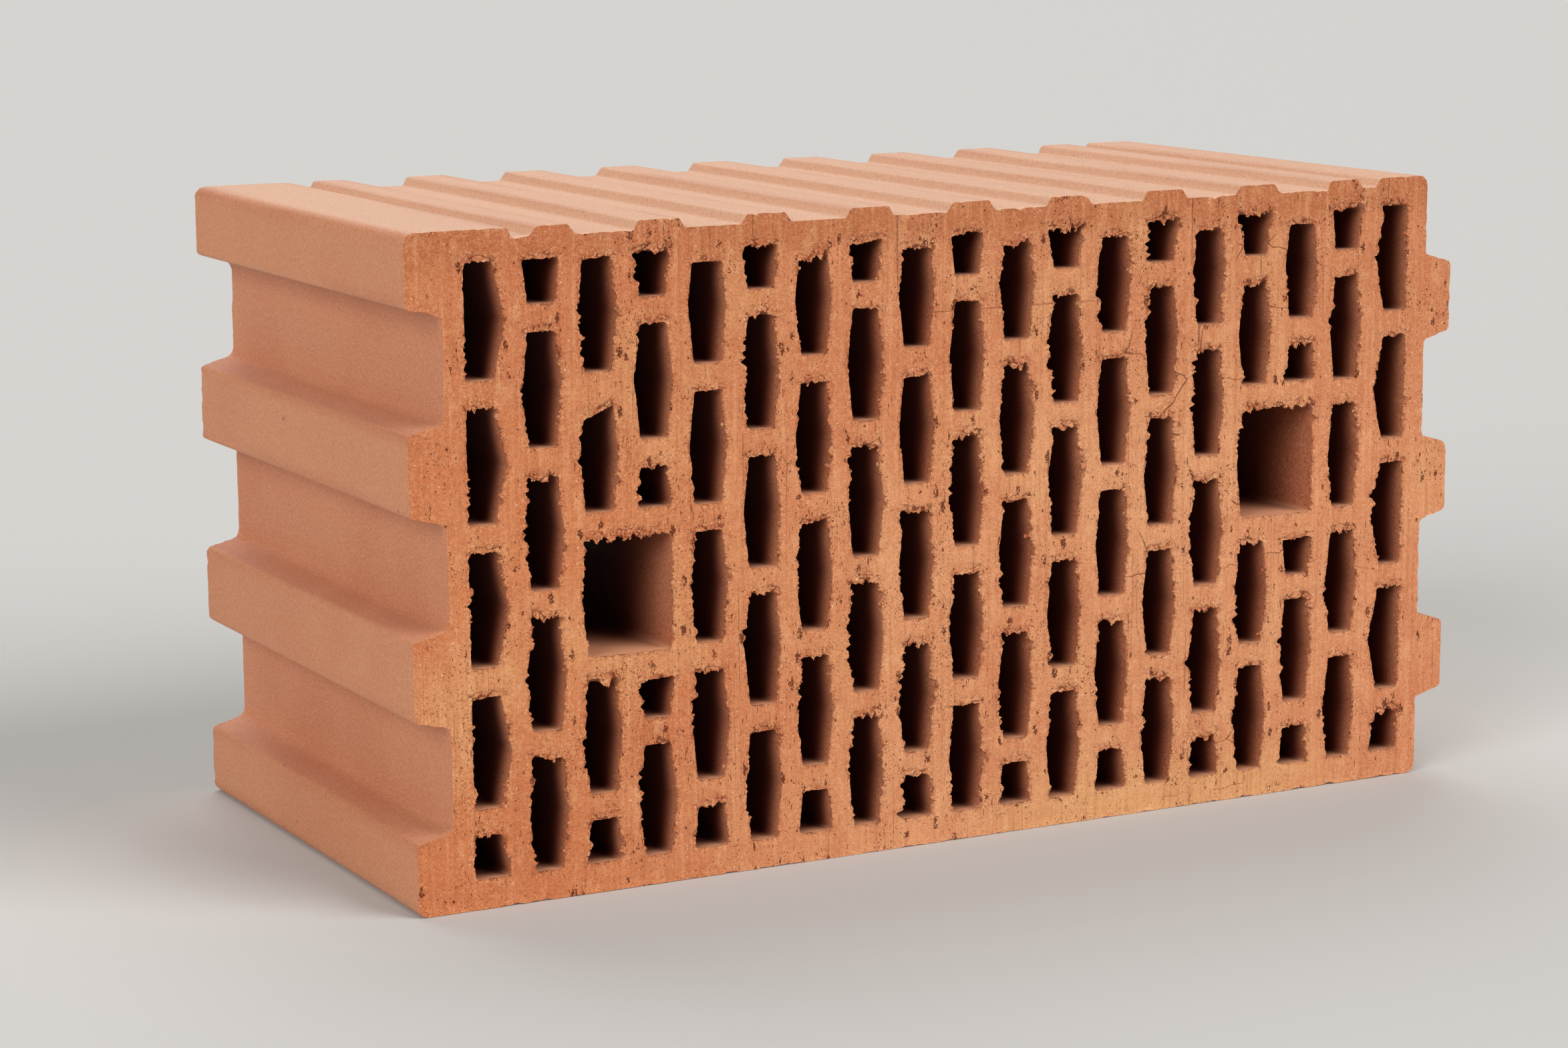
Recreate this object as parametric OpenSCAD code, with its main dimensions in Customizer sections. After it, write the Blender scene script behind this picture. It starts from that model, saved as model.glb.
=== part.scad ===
// Perforated clay block with tongued and grooved ends, lying on its plain long side.
// X runs along its length, Y along its holes and Z up through the wall that it builds.

/* [Block] */
// Length from the ridges between the end grooves to the face that carries the tongues
block_l = 450; // [400:1:520]
// Height over the plaster ribs, the thickness of the wall that the block builds
block_h = 250; // [225:1:290]
// Depth along the holes, the height of one course of the wall
block_d = 219; // [60:1:300]
// Radius of the four long outer edges
edge_r = 4; // [1:0.5:6]

/* [Shells and webs] */
// Wall between the floor of the end grooves and the first column of holes
groove_shell = 8.8; // [6:0.1:14]
// Wall between the last column of holes and the face that carries the tongues
tongue_shell = 9.6; // [6:0.1:14]
// Wall under the lowest holes
bottom_shell = 11.4; // [6:0.1:16]
// Wall between the highest holes and the valleys beside the plaster ribs
top_shell = 8.4; // [6:0.1:14]
// Web between two columns of holes where the holes are widest
column_web = 6.8; // [5:0.1:9]
// Web between two holes of one column
cross_web = 10; // [6:0.1:14]

/* [Holes] */
// Columns of holes along the length
columns = 19; // [17:2:21]
// Whole slots in a column
rows = 4; // [3:1:5]
// Width of a slot at its two ends
slot_end_w = 11; // [8:0.1:13]
// Radius in the corners of the holes
hole_r = 1.5; // [0.5:0.1:3]
// How much lower the highest slots end between the plaster ribs
valley_drop = 5; // [0:0.5:8]
// Smallest height that is left open as a hole
least_hole_h = 6; // [4:0.5:10]

/* [Grip holes] */
// First of the two columns that each grip hole takes up
grip_columns = [3, 16]; // [3:1:17]
// Row of the slot that a grip hole widens
grip_row = 3; // [2:1:3]
// Height of a grip hole
grip_h = 44; // [36:1:48]
// How far the straight side of a grip hole stays inside its column
grip_inset = 1; // [0:0.1:2]
// Radius in the corners of a grip hole
grip_r = 2.5; // [1:0.5:5]

/* [Tongues and grooves] */
// Tongues on one end, and grooves in the other
tongues = 3; // [2:1:3]
// Distance from one tongue to the next
tongue_pitch = 75; // [68:1:80]
// How far a tongue stands out
tongue_l = 12.6; // [8:0.2:16]
// Width of a tongue where it meets the block
tongue_base_w = 35.5; // [30:0.5:40]
// Width of a tongue at its tip, before its corners are rounded
tongue_tip_w = 28.5; // [24:0.5:30]
// Radius of a tongue's outer corners
tongue_r = 2.6; // [1:0.2:4]
// Radius where a tongue meets the block
tongue_foot_r = 1.6; // [0.5:0.1:3]
// Play at each side of a tongue in its groove
side_clearance = 4.8; // [2:0.1:6]
// Play between a tongue's tip and the floor of its groove
tip_clearance = 1.6; // [1:0.1:4]
// Radius along the floor of a groove
groove_floor_r = 4; // [1:0.5:6]
// Radius of a groove's outer corners
groove_mouth_r = 1.8; // [0.5:0.1:3]

/* [Plaster ribs] */
// Ribs along the top
ribs = 9; // [7:1:9]
// Height of the ribs over their valleys
rib_h = 3.6; // [2:0.1:6]
// Width of a rib at its foot
rib_w = 21.4; // [16:0.2:24]
// Width of the first and the last rib at the foot
end_rib_w = 18.2; // [14:0.2:24]
// Run of a rib's sloping side
rib_slope = 2.4; // [1:0.1:4]
// Radius along a rib's upper edges
rib_r = 2; // [0.5:0.1:3]
// Radius along a rib's foot
rib_foot_r = 1.2; // [0.4:0.1:2]
// Width of the flat shoulder above the grooves, at its foot
groove_shoulder = 42.4; // [36:0.2:50]
// Width of the flat shoulder above the tongues, at its foot
tongue_shoulder = 26.2; // [20:0.2:34]
// Valley between a shoulder and its nearest rib
shoulder_gap = 6.4; // [3:0.2:10]

/* [Hidden] */
arc_steps = 3;
first_short_column = 5;

// The ends
overall_l = block_l + tongue_l;
groove_depth = tongue_l + tip_clearance;
groove_mouth_w = tongue_base_w + 2 * side_clearance;
groove_floor_w = tongue_tip_w + 2 * side_clearance;
tongue_z = [for (t = [0 : tongues - 1]) block_h / 2 + (t - (tongues - 1) / 2) * tongue_pitch];

// The field of holes
field_lo = bottom_shell;
field_hi = block_h - rib_h - top_shell;
field_x = groove_depth + groove_shell;
field_l = block_l - tongue_shell - field_x;
column_pitch = (field_l + column_web) / columns;
slot_w = column_pitch - column_web;
half_row_share = 0.5;
row_pitch = (field_hi - field_lo + cross_web) / (rows + half_row_share);
slot_l = row_pitch - cross_web;

// The plaster ribs
valley_z = block_h - rib_h;
inner_ribs = ribs - 2;
ribs_l = block_l - groove_shoulder - tongue_shoulder - 2 * shoulder_gap;
rib_gap = (ribs_l - 2 * end_rib_w - inner_ribs * rib_w) / (ribs - 1);

// Unit vector along v
function unit(v) = v / norm(v);

// Points that round the corner p between its neighbours a and b, no wider than half a side
function corner_points(a, p, b, r) =
    let (
        u = unit(a - p),
        v = unit(b - p),
        bend = acos(u * v),
        room = min(norm(a - p), norm(b - p)) / 2,
        reach = min(r / tan(bend / 2), room),
        radius = reach * tan(bend / 2),
        centre = p + unit(u + v) * radius / sin(bend / 2),
        start = p + u * reach - centre,
        stop = p + v * reach - centre,
        turn = 180 - bend
    )
    r == 0 ? [p] : [
        for (k = [0 : arc_steps])
            let (share = k / arc_steps)
            centre + (start * sin((1 - share) * turn) + stop * sin(share * turn)) / sin(turn)
    ];

// An outline from its corners, each written as [x, z, radius]
function rounded(corners) =
    let (n = len(corners), p = [for (c = corners) [c[0], c[1]]])
    [
        for (i = [0 : n - 1])
            each corner_points(p[(i + n - 1) % n], p[i], p[(i + 1) % n], corners[i][2])
    ];

// Corners of one tongue, from its lower to its upper side
function tongue_corners(z) = [
    [block_l, z - tongue_base_w / 2, tongue_foot_r],
    [overall_l, z - tongue_tip_w / 2, tongue_r],
    [overall_l, z + tongue_tip_w / 2, tongue_r],
    [block_l, z + tongue_base_w / 2, tongue_foot_r]
];

// Corners of one end groove, from its upper to its lower side
function groove_corners(z) = [
    [0, z + groove_mouth_w / 2, groove_mouth_r],
    [groove_depth, z + groove_floor_w / 2, groove_floor_r],
    [groove_depth, z - groove_floor_w / 2, groove_floor_r],
    [0, z - groove_mouth_w / 2, groove_mouth_r]
];

// Width of rib k at its foot, and where its foot starts
function rib_foot_w(k) = k == 0 || k == ribs - 1 ? end_rib_w : rib_w;
function rib_foot_x(k) = k == 0
    ? groove_shoulder + shoulder_gap
    : rib_foot_x(k - 1) + rib_foot_w(k - 1) + rib_gap;

// Corners of rib k, from its right to its left foot
function rib_corners(k) =
    let (left = rib_foot_x(k), right = left + rib_foot_w(k))
    [
        [right, valley_z, rib_foot_r],
        [right - rib_slope, block_h, rib_r],
        [left + rib_slope, block_h, rib_r],
        [left, valley_z, rib_foot_r]
    ];

// Corners of the whole section: underside, tongues, ribbed top and grooves
function section_corners() = [
    [0, 0, edge_r],
    [block_l, 0, edge_r],
    for (z = tongue_z) each tongue_corners(z),
    [block_l, block_h, edge_r],
    [block_l - tongue_shoulder + rib_slope, block_h, rib_r],
    [block_l - tongue_shoulder, valley_z, rib_foot_r],
    for (k = [ribs - 1 : -1 : 0]) each rib_corners(k),
    [groove_shoulder, valley_z, rib_foot_r],
    [groove_shoulder - rib_slope, block_h, rib_r],
    [0, block_h, edge_r],
    for (t = [tongues - 1 : -1 : 0]) each groove_corners(tongue_z[t])
];

// Middle of column c, counted from 1, and whether its slots sit half a row lower
function column_x(c) = field_x + slot_w / 2 + (c - 1) * column_pitch;
function staggered(c) = c % 2 == 1;

// Top of the field of holes in column c, lower under the valleys between the ribs
function column_top(c) =
    staggered(c) && c >= first_short_column && c < columns ? field_hi - valley_drop : field_hi;

// Middle height of slot r in column c, both counted from 1
function slot_z(c, r) =
    field_lo + slot_l / 2 + (r - 1 - (staggered(c) ? half_row_share : 0)) * row_pitch;

// Heights that a grip hole whose first column is g keeps clear, with a web above and below it
function grip_cut(g) =
    let (z = slot_z(g, grip_row), reach = grip_h / 2 + cross_web)
    [z - reach, z + reach];

// What is left of the spans [low, high, slot middle] outside the heights of a cut
function outside(spans, cut) = [
    for (s = spans)
        each [[s[0], min(s[1], cut[0]), s[2]], [max(s[0], cut[1]), s[1], s[2]]]
];

// Spans of column c after the cuts of the grip holes from number n on
function beside_grips(spans, c, n = 0) =
    n == len(grip_columns) ? spans :
    let (g = grip_columns[n], taken = c == g || c == g + 1)
    beside_grips(taken ? outside(spans, grip_cut(g)) : spans, c, n + 1);

// Open spans of column c, where the shells and the grip holes cut the slots short
function column_spans(c) =
    let (
        slots = [
            for (r = [1 : rows + 1])
                let (z = slot_z(c, r))
                [max(z - slot_l / 2, field_lo), min(z + slot_l / 2, column_top(c)), z]
        ]
    )
    [for (s = beside_grips(slots, c)) if (s[1] - s[0] >= least_hole_h) s];

// Width of a slot at the distance d from its middle
function slot_width(d) = slot_w - (slot_w - slot_end_w) * abs(d) / (slot_l / 2);

// Side of a hole's outline: -1 is left and 1 is right, and an outermost side stays straight
function hole_side(c, side, d) =
    let (
        outer = c == 1 ? -1 : c == columns ? 1 : 0,
        lean = outer * (slot_w - slot_width(d)) / 2
    )
    column_x(c) + side * slot_width(d) / 2 + lean;

// Corners of one hole: a slot that is widest at its middle, or what its span leaves of it
function hole_corners(c, span) =
    let (lo = span[0], hi = span[1], z = span[2], middle = lo < z && z < hi)
    [
        [hole_side(c, -1, lo - z), lo, hole_r],
        [hole_side(c, 1, lo - z), lo, hole_r],
        if (middle) [hole_side(c, 1, 0), z, 0],
        [hole_side(c, 1, hi - z), hi, hole_r],
        [hole_side(c, -1, hi - z), hi, hole_r],
        if (middle) [hole_side(c, -1, 0), z, 0]
    ];

// Corners of the grip hole that takes columns g and g + 1: one bulged side and one straight side
function grip_corners(g) =
    let (
        z = slot_z(g, grip_row),
        lo = z - grip_h / 2,
        hi = z + grip_h / 2,
        left = column_x(g) - slot_w / 2,
        left_end = column_x(g) - slot_end_w / 2,
        right = column_x(g + 1) + slot_w / 2 - grip_inset
    )
    [
        [left_end, lo, grip_r],
        [right, lo, grip_r],
        [right, hi, grip_r],
        [left_end, hi, grip_r],
        [left, z, 0]
    ];

// All the holes of the section
module hole_outlines() {
    for (c = [1 : columns])
        for (span = column_spans(c))
            polygon(rounded(hole_corners(c, span)));
    for (g = grip_columns)
        polygon(rounded(grip_corners(g)));
}

// The fired block, cut off the pressed strand of clay
module clay_block() {
    color("#cb7d55")
        translate([-overall_l / 2, 0, 0])
            rotate([90, 0, 0])
                linear_extrude(height = block_d, center = true)
                    difference() {
                        polygon(rounded(section_corners()));
                        hole_outlines();
                    }
}

clay_block();
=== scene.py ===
# %% [markdown]
# # A perforated clay block
# A large wall block is pressed as an endless strand of clay, cut off by a wire and fired. Its outside and
# the walls of its holes keep the smooth skin of the die, and the two cut faces are torn, grainy and open.
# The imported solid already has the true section, so this lesson reads the section from it and rebuilds the
# block as one closed mesh that has room for crumbs, chips and drag marks.

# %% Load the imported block
import math

import bpy
import numpy as np
from mathutils import Matrix, Vector
from mathutils.geometry import delaunay_2d_cdt


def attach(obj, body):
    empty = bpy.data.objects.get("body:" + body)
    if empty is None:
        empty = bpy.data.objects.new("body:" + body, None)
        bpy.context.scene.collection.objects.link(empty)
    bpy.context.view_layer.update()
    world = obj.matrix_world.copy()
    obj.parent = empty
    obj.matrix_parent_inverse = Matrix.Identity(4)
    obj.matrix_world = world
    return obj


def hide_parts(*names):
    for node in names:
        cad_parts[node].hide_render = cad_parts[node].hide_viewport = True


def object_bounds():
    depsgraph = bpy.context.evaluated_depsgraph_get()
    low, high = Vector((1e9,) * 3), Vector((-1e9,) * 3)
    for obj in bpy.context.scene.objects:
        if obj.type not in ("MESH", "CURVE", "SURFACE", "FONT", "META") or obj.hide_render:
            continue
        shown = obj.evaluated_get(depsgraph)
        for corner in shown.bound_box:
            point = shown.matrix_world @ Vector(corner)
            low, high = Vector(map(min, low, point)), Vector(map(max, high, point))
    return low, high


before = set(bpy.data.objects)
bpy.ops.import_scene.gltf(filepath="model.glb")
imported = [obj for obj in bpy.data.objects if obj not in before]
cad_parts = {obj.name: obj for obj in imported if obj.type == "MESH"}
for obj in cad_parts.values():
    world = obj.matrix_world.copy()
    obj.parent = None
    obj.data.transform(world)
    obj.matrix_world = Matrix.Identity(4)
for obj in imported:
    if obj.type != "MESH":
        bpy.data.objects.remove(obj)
cad_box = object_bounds()
MM = 0.001
low = np.array(cad_box[0]) / MM
high = np.array(cad_box[1]) / MM
DEPTH = high[1] - low[1]
print("block in mm", np.round(high - low, 1))

# %% [markdown]
# ## The camera
# The block was seen from its grooved end, a little from above, with a long lens. The place and direction
# were solved from the straight rows of holes. A pitched camera without lens shift is used, because a shift
# would push the block out of every other view.

# %% Camera
PHOTO_W = 2347
FOCAL_PX = 5594.7
SENSOR_MM = 36.0
CAMERA_AT = Vector((-0.7316, -1.3292, 0.3807))
LOOK_ALONG = Vector((0.46381, 0.86814, -0.17669))
ROLL_DEG = -0.35


def make_camera():
    """Turns the camera's -Z to the line of sight, then rolls it about that line."""
    data = bpy.data.cameras.new("camera")
    data.sensor_width = SENSOR_MM
    data.lens = FOCAL_PX / PHOTO_W * SENSOR_MM
    camera = bpy.data.objects.new("camera", data)
    turn = LOOK_ALONG.to_track_quat("-Z", "Y").to_matrix().to_4x4()
    roll = Matrix.Rotation(math.radians(ROLL_DEG), 4, "Z")
    camera.matrix_world = Matrix.Translation(CAMERA_AT) @ turn @ roll
    bpy.context.scene.collection.objects.link(camera)
    bpy.context.scene.camera = camera
    return camera


print("lens in mm", round(make_camera().data.lens, 1))

# %% [markdown]
# ## The section, read from the solid
# The block is one straight extrusion, so everything about its shape is in the outline of its cut face. The
# triangles that lie in the front plane are picked out, and an edge that only one of them uses is on the
# outline. Each such edge points from one vertex to the next, and doubling those pointers again and again
# puts all vertices of all loops in order at once, without walking along them.


# %% Loops of the cut face
def merged_triangles(obj):
    """Vertices in millimetres with doubles merged, and triangles as rows of three vertex numbers."""
    mesh = obj.data
    mesh.calc_loop_triangles()
    co = np.empty(len(mesh.vertices) * 3)
    mesh.vertices.foreach_get("co", co)
    tri = np.empty(len(mesh.loop_triangles) * 3, dtype=np.int64)
    mesh.loop_triangles.foreach_get("vertices", tri)
    points, number = np.unique(np.round(co.reshape(-1, 3) / MM, 3), axis=0, return_inverse=True)
    return points, number.reshape(-1)[tri].reshape(-1, 3)


def ordered_loops(start, end, count):
    """Closed loops from edges start to end: the least vertex of a loop is its head, and a vertex's place is
    the number of steps from that head, both found by following pointers that double in length each round."""
    rounds = int(np.ceil(np.log2(count))) + 1
    ahead = np.arange(count)
    ahead[start] = end
    head = np.arange(count)
    for _ in range(rounds):
        head = np.minimum(head, head[ahead])
        ahead = ahead[ahead]
    back = np.arange(count)
    back[end] = start
    at_head = head == np.arange(count)
    back[at_head] = np.flatnonzero(at_head)
    steps = np.where(at_head, 0, 1)
    for _ in range(rounds):
        steps = steps + steps[back]
        back = back[back]
    order = np.lexsort((steps[start], head[start]))
    line = start[order]
    return np.split(line, np.flatnonzero(np.diff(head[line])) + 1)


def section_loops(points, tri):
    """Loops of the front plane as (n, 2) arrays of x and z, with the clay on the left of each edge."""
    on_front = np.isclose(points[:, 1], points[:, 1].min(), atol=0.01)
    tri = tri[on_front[tri].all(axis=1)]
    edge = np.concatenate([tri[:, [0, 1]], tri[:, [1, 2]], tri[:, [2, 0]]])
    count = len(points)
    key = edge[:, 0] * count + edge[:, 1]
    lonely = ~np.isin(key, edge[:, 1] * count + edge[:, 0])
    return [points[line][:, [0, 2]] for line in ordered_loops(*edge[lonely].T, count)]


def loop_area(loop):
    """Signed area by the shoelace formula."""
    x, z = loop.T
    return 0.5 * np.sum(x * np.roll(z, -1) - np.roll(x, -1) * z)


loops = section_loops(*merged_triangles(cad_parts["clay_block"]))
loops.sort(key=lambda loop: -abs(loop_area(loop)))
outline, holes = loops[0], loops[1:]
print("outline points", len(outline), "holes", len(holes))

# %% [markdown]
# ## Noise worked out by hand
# Crumbs and chips have to be in the mesh, so the noise that shapes them is computed with numpy. A whole
# number hash gives every lattice corner a fixed random value, smooth steps blend between corners, and a
# second kind measures the distance to the nearest of many scattered points, which makes grains and pits.


# %% Noise
def hashed(cell, seed):
    """A value from 0 to 1 for each row of whole numbers, by multiplying and mixing bits."""
    with np.errstate(over="ignore"):
        h = np.full(cell.shape[:-1], (seed * 0x9E3779B97F4A7C15) & 0xFFFFFFFFFFFFFFFF, dtype=np.uint64)
        for axis in range(cell.shape[-1]):
            h = (h ^ cell[..., axis].astype(np.int64).astype(np.uint64)) * np.uint64(0xBF58476D1CE4E5B9)
            h = (h ^ (h >> np.uint64(29))) * np.uint64(0x94D049BB133111EB)
        h = h ^ (h >> np.uint64(32))
    return (h >> np.uint64(11)).astype(float) / float(1 << 53)


def smooth_noise(p, size, seed):
    """Value noise from -1 to 1: corner values of a lattice with this cell size, blended by smooth steps."""
    q = p / size
    cell = np.floor(q).astype(np.int64)
    f = q - cell
    f = f * f * (3 - 2 * f)
    dims = p.shape[1]
    total = np.zeros(len(p))
    for corner in np.ndindex(*(2,) * dims):
        corner = np.array(corner)
        weight = np.prod(np.where(corner == 1, f, 1 - f), axis=1)
        total += weight * hashed(cell + corner, seed)
    return 2 * total - 1


def fractal(p, size, seed, octaves=3):
    """Sum of smooth noises, each half as large in size and height as the one before."""
    parts = [smooth_noise(p, size / 2**k, seed + k) / 2**k for k in range(octaves)]
    return np.sum(parts, axis=0) / (2 - 2 ** (1 - octaves))


def scattered(p, size, seed):
    """Distance to the nearest scattered point in cell sizes, and a random value of that point."""
    q = p / size
    cell = np.floor(q).astype(np.int64)
    dims = p.shape[1]
    best = np.full(len(p), 9.0)
    value = np.zeros(len(p))
    for step in np.ndindex(*(3,) * dims):
        near = cell + np.array(step) - 1
        spot = near + np.stack([hashed(near, seed + 1 + a) for a in range(dims)], axis=1)
        gap = np.linalg.norm(q - spot, axis=1)
        closer = gap < best
        value = np.where(closer, hashed(near, seed), value)
        best = np.where(closer, gap, best)
    return best, value


print("noise from", np.round(fractal(np.random.default_rng(1).uniform(0, 50, (999, 2)), 5, 1)[:3], 2))

# %% [markdown]
# ## Rings round the holes
# Every hole's outline is sampled at even steps from its foot, and all holes are kept in one long array. Two
# more arrays say which sample comes next and which came before, so one expression handles all the rims
# together. The near face gets a sample about every 0.5 mm, and the far face every second one of them.

# %% Hole rings
RIM_STEP = 0.53


def from_foot(loop):
    """The same loop, started at its lowest point, and at the left one of two that are equally low."""
    return np.roll(loop, -np.lexsort((loop[:, 0], np.round(loop[:, 1], 2)))[0], axis=0)


def length_along(loop):
    """Distance along a closed loop at each of its points, and once more at its end."""
    closed = np.vstack([loop, loop[:1]])
    return closed, np.concatenate([[0], np.cumsum(np.linalg.norm(np.diff(closed, axis=0), axis=1))])


def resampled(loop, count):
    """The closed loop at this many even steps along its length."""
    closed, along = length_along(loop)
    at = np.arange(count) * along[-1] / count
    return np.stack([np.interp(at, along, closed[:, 0]), np.interp(at, along, closed[:, 1])], axis=1)


def chained(rings):
    """Rings end to end in one array, with the numbers of each sample's next and previous sample."""
    counts = np.array([len(r) for r in rings])
    first = np.repeat(np.cumsum(counts) - counts, counts)
    size = np.repeat(counts, counts)
    at = np.arange(counts.sum()) - first
    return np.concatenate(rings), first + (at + 1) % size, first + (at - 1) % size


def clay_normals(points, after, before):
    """Unit vectors in the section that point from the hole into the clay, left of the line."""
    t = points[after] - points[before]
    n = np.stack([-t[:, 1], t[:, 0]], axis=1)
    return n / np.linalg.norm(n, axis=1, keepdims=True)


holes = [from_foot(h) for h in holes]
counts = [2 * int(round(length_along(h)[1][-1] / RIM_STEP / 2)) for h in holes]
wall_line, rim_next, rim_back = chained([resampled(h, n) for h, n in zip(holes, counts)])
rim_hole = np.repeat(np.arange(len(holes)), counts)
print("rim samples", len(wall_line))

# %% [markdown]
# ## Slumped tops
# The wire also dragged a little clay down over the top of many holes, more on the left than on the right,
# and in one slot it closed the whole corner. Each hole's line on the near face is therefore cut by a slanted
# line of its own before it is sampled. The wall behind runs back to the line of the die.

# %% Slumped tops
SLUMP_MM = 2.4
SLUMP_SLOT = (-154.0, 165.0)
SLUMP_SLOT_MM = 8.5
SLUMP_BIAS, RIGHT_SHARE = 2.2, 0.2


def cut_by_line(loop, start, end):
    """The part of a convex loop below a line that runs from left to right, with the two crossings added."""
    side = end - start
    height = (loop[:, 1] - start[1]) * side[0] - (loop[:, 0] - start[0]) * side[1]
    after = np.roll(height, -1)
    crossing = (height > 0) != (after > 0)
    share = np.where(crossing, height / np.where(crossing, height - after, 1.0), 0.0)
    cross = loop + (np.roll(loop, -1, axis=0) - loop) * share[:, None]
    both = np.stack([loop, cross], axis=1).reshape(-1, 2)
    return both[np.stack([height <= 0, crossing], axis=1).reshape(-1)]


def slumped(loop, drop):
    """A hole's loop with its top edge lowered by the drop at the left and by a share of it at the right."""
    (left, _), (right, top) = loop.min(axis=0), loop.max(axis=0)
    start, end = np.array([left, top - drop]), np.array([right, top - RIGHT_SHARE * drop])
    return from_foot(cut_by_line(loop, start, end))


rng = np.random.default_rng(11)
drops = SLUMP_MM * rng.uniform(0, 1, len(holes)) ** SLUMP_BIAS
middles = np.array([(h.min(axis=0) + h.max(axis=0)) / 2 for h in holes])
drops[np.argmin(np.linalg.norm(middles - SLUMP_SLOT, axis=1))] = SLUMP_SLOT_MM
rim, _, _ = chained([resampled(slumped(h, d), n) for h, d, n in zip(holes, drops, counts)])
rim_normal = clay_normals(rim, rim_next, rim_back)
wall_normal = clay_normals(wall_line, rim_next, rim_back)
print("mean slump in mm", drops.mean().round(2))

# %% [markdown]
# ## How the wire tears a rim
# The wire came down through the clay. Where it left a web into a hole it tore the lower edge of that web,
# so the top of each hole is ragged, its sides are nibbled and its foot is almost clean. The rim is moved
# along its normal: into the clay for a bite, and into the hole for a crumb that still hangs there.

# %% Torn rims
BITE_MM = 1.25
MOST_BITE_MM, MOST_CRUMB_MM = 2.3, 1.6
BASE_WEAR_MM = 0.2
CORNER_SPAN = 4
SIDE_TEAR, MORE_AT_TOP, LESS_AT_FOOT = 0.62, 0.38, 0.46
TEMPER_SPAN_MM = 13.0
SMALL_SCALLOP_MM, LARGE_SCALLOP_MM, FINE_MM = 1.7, 3.4, 1.5
CHIP_SPAN_MM, CRUMB_SPAN_MM = 4.4, 2.6


def tear(normal):
    """Share of tearing by direction: most at the top of a hole, least at its foot."""
    up = normal[:, 1]
    return SIDE_TEAR + np.where(up > 0, MORE_AT_TOP, LESS_AT_FOOT) * up


def temper(points, seed):
    """How roughly the wire left each stretch of rim: a broad noise, from 0.2 where it is neat to 1.7."""
    return 0.2 + 1.5 * np.clip(0.45 + 1.6 * fractal(points, TEMPER_SPAN_MM, seed), 0, 1)


def straightness(normal, after, before):
    """1 where the rim is straight for a few samples both ways, 0 at a corner."""
    ahead, behind = np.arange(len(normal)), np.arange(len(normal))
    for _ in range(CORNER_SPAN):
        ahead, behind = after[ahead], before[behind]
    return np.clip((np.sum(normal[ahead] * normal[behind], axis=1) - 0.80) / 0.15, 0, 1)


def rim_bites(points, normal, straight, rough_share, seed):
    """Movement along the normal in mm: scallops of two sizes, larger chips, and crumbs the other way."""
    small, _ = scattered(points, SMALL_SCALLOP_MM, seed)
    large, value = scattered(points, LARGE_SCALLOP_MM, seed + 5)
    fine = fractal(points, FINE_MM, seed + 10, 2)
    chips = np.clip(fractal(points, CHIP_SPAN_MM, seed + 20) - 0.20, 0, 1)
    crumbs = np.clip(fractal(points, CRUMB_SPAN_MM, seed + 30) - 0.24, 0, 1)
    scallops = 0.65 * (small - 0.45) + 0.9 * (large - 0.55) * (value > 0.35) + 0.9 * fine
    rough = rough_share * tear(normal) * (scallops + 4.0 * chips - 3.4 * crumbs * straight)
    most_crumb = MOST_CRUMB_MM * (0.15 + 0.85 * straight)
    return BASE_WEAR_MM + np.clip(BITE_MM * rough, -most_crumb, MOST_BITE_MM)


straight = straightness(rim_normal, rim_next, rim_back)
rim_temper = temper(rim, 140)
bites = rim_bites(rim, rim_normal, straight, rim_temper, seed=100)
far_rim, far_normal, far_hole = wall_line[::2], wall_normal[::2], rim_hole[::2]
far_next, far_back = rim_next[rim_next[::2]] // 2, rim_back[rim_back[::2]] // 2
far_straight = 0.5 * straightness(far_normal, far_next, far_back)
far_temper = temper(far_rim, 540)
far_bites = rim_bites(far_rim, far_normal, far_straight, far_temper, seed=500)
print("bites in mm from", bites.min().round(2), "to", bites.max().round(2))

# %% [markdown]
# ## The cut face
# The face between the rims is a height over the section. Points are laid on a slanted lattice, shaken a
# little, and kept where there is clay and no rim is close. A constrained Delaunay triangulation joins them
# with the rims and the outline. This way the rims can be as fine as they need, and the plain clay between
# them stays coarse.

# %% Inside and gaps
MOST_PAIRS = 4_000_000


def inside(points, loop):
    """True where a ray to the right crosses the loop an odd number of times."""
    a, b = loop, np.roll(loop, -1, axis=0)
    z = points[:, 1][:, None]
    spans = (a[:, 1] > z) != (b[:, 1] > z)
    rise = np.where(a[:, 1] == b[:, 1], 1.0, b[:, 1] - a[:, 1])
    x = a[:, 0] + (z - a[:, 1]) * (b[:, 0] - a[:, 0]) / rise
    return (np.sum(spans & (points[:, 0][:, None] < x), axis=1) % 2).astype(bool)


def gap_to(points, others):
    """Distance from each point to the nearest of the others, in slices that stay small in memory."""
    slices = np.array_split(points, max(1, len(points) * len(others) // MOST_PAIRS))
    return np.concatenate([
        np.linalg.norm(s[:, None] - others[None], axis=2).min(axis=1) for s in slices
    ])


middle = (low[[0, 2]] + high[[0, 2]])[None] / 2
print("middle inside", bool(inside(middle, outline)[0]), "and off a rim by mm", gap_to(middle, rim).round(1))

# %% Points on the face
FACE_STEP, FAR_STEP = 2.5, 3.4
SHAKE, CLEAR_OF_RIM, SEARCH_STEPS = 0.28, 0.55, 4


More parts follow.
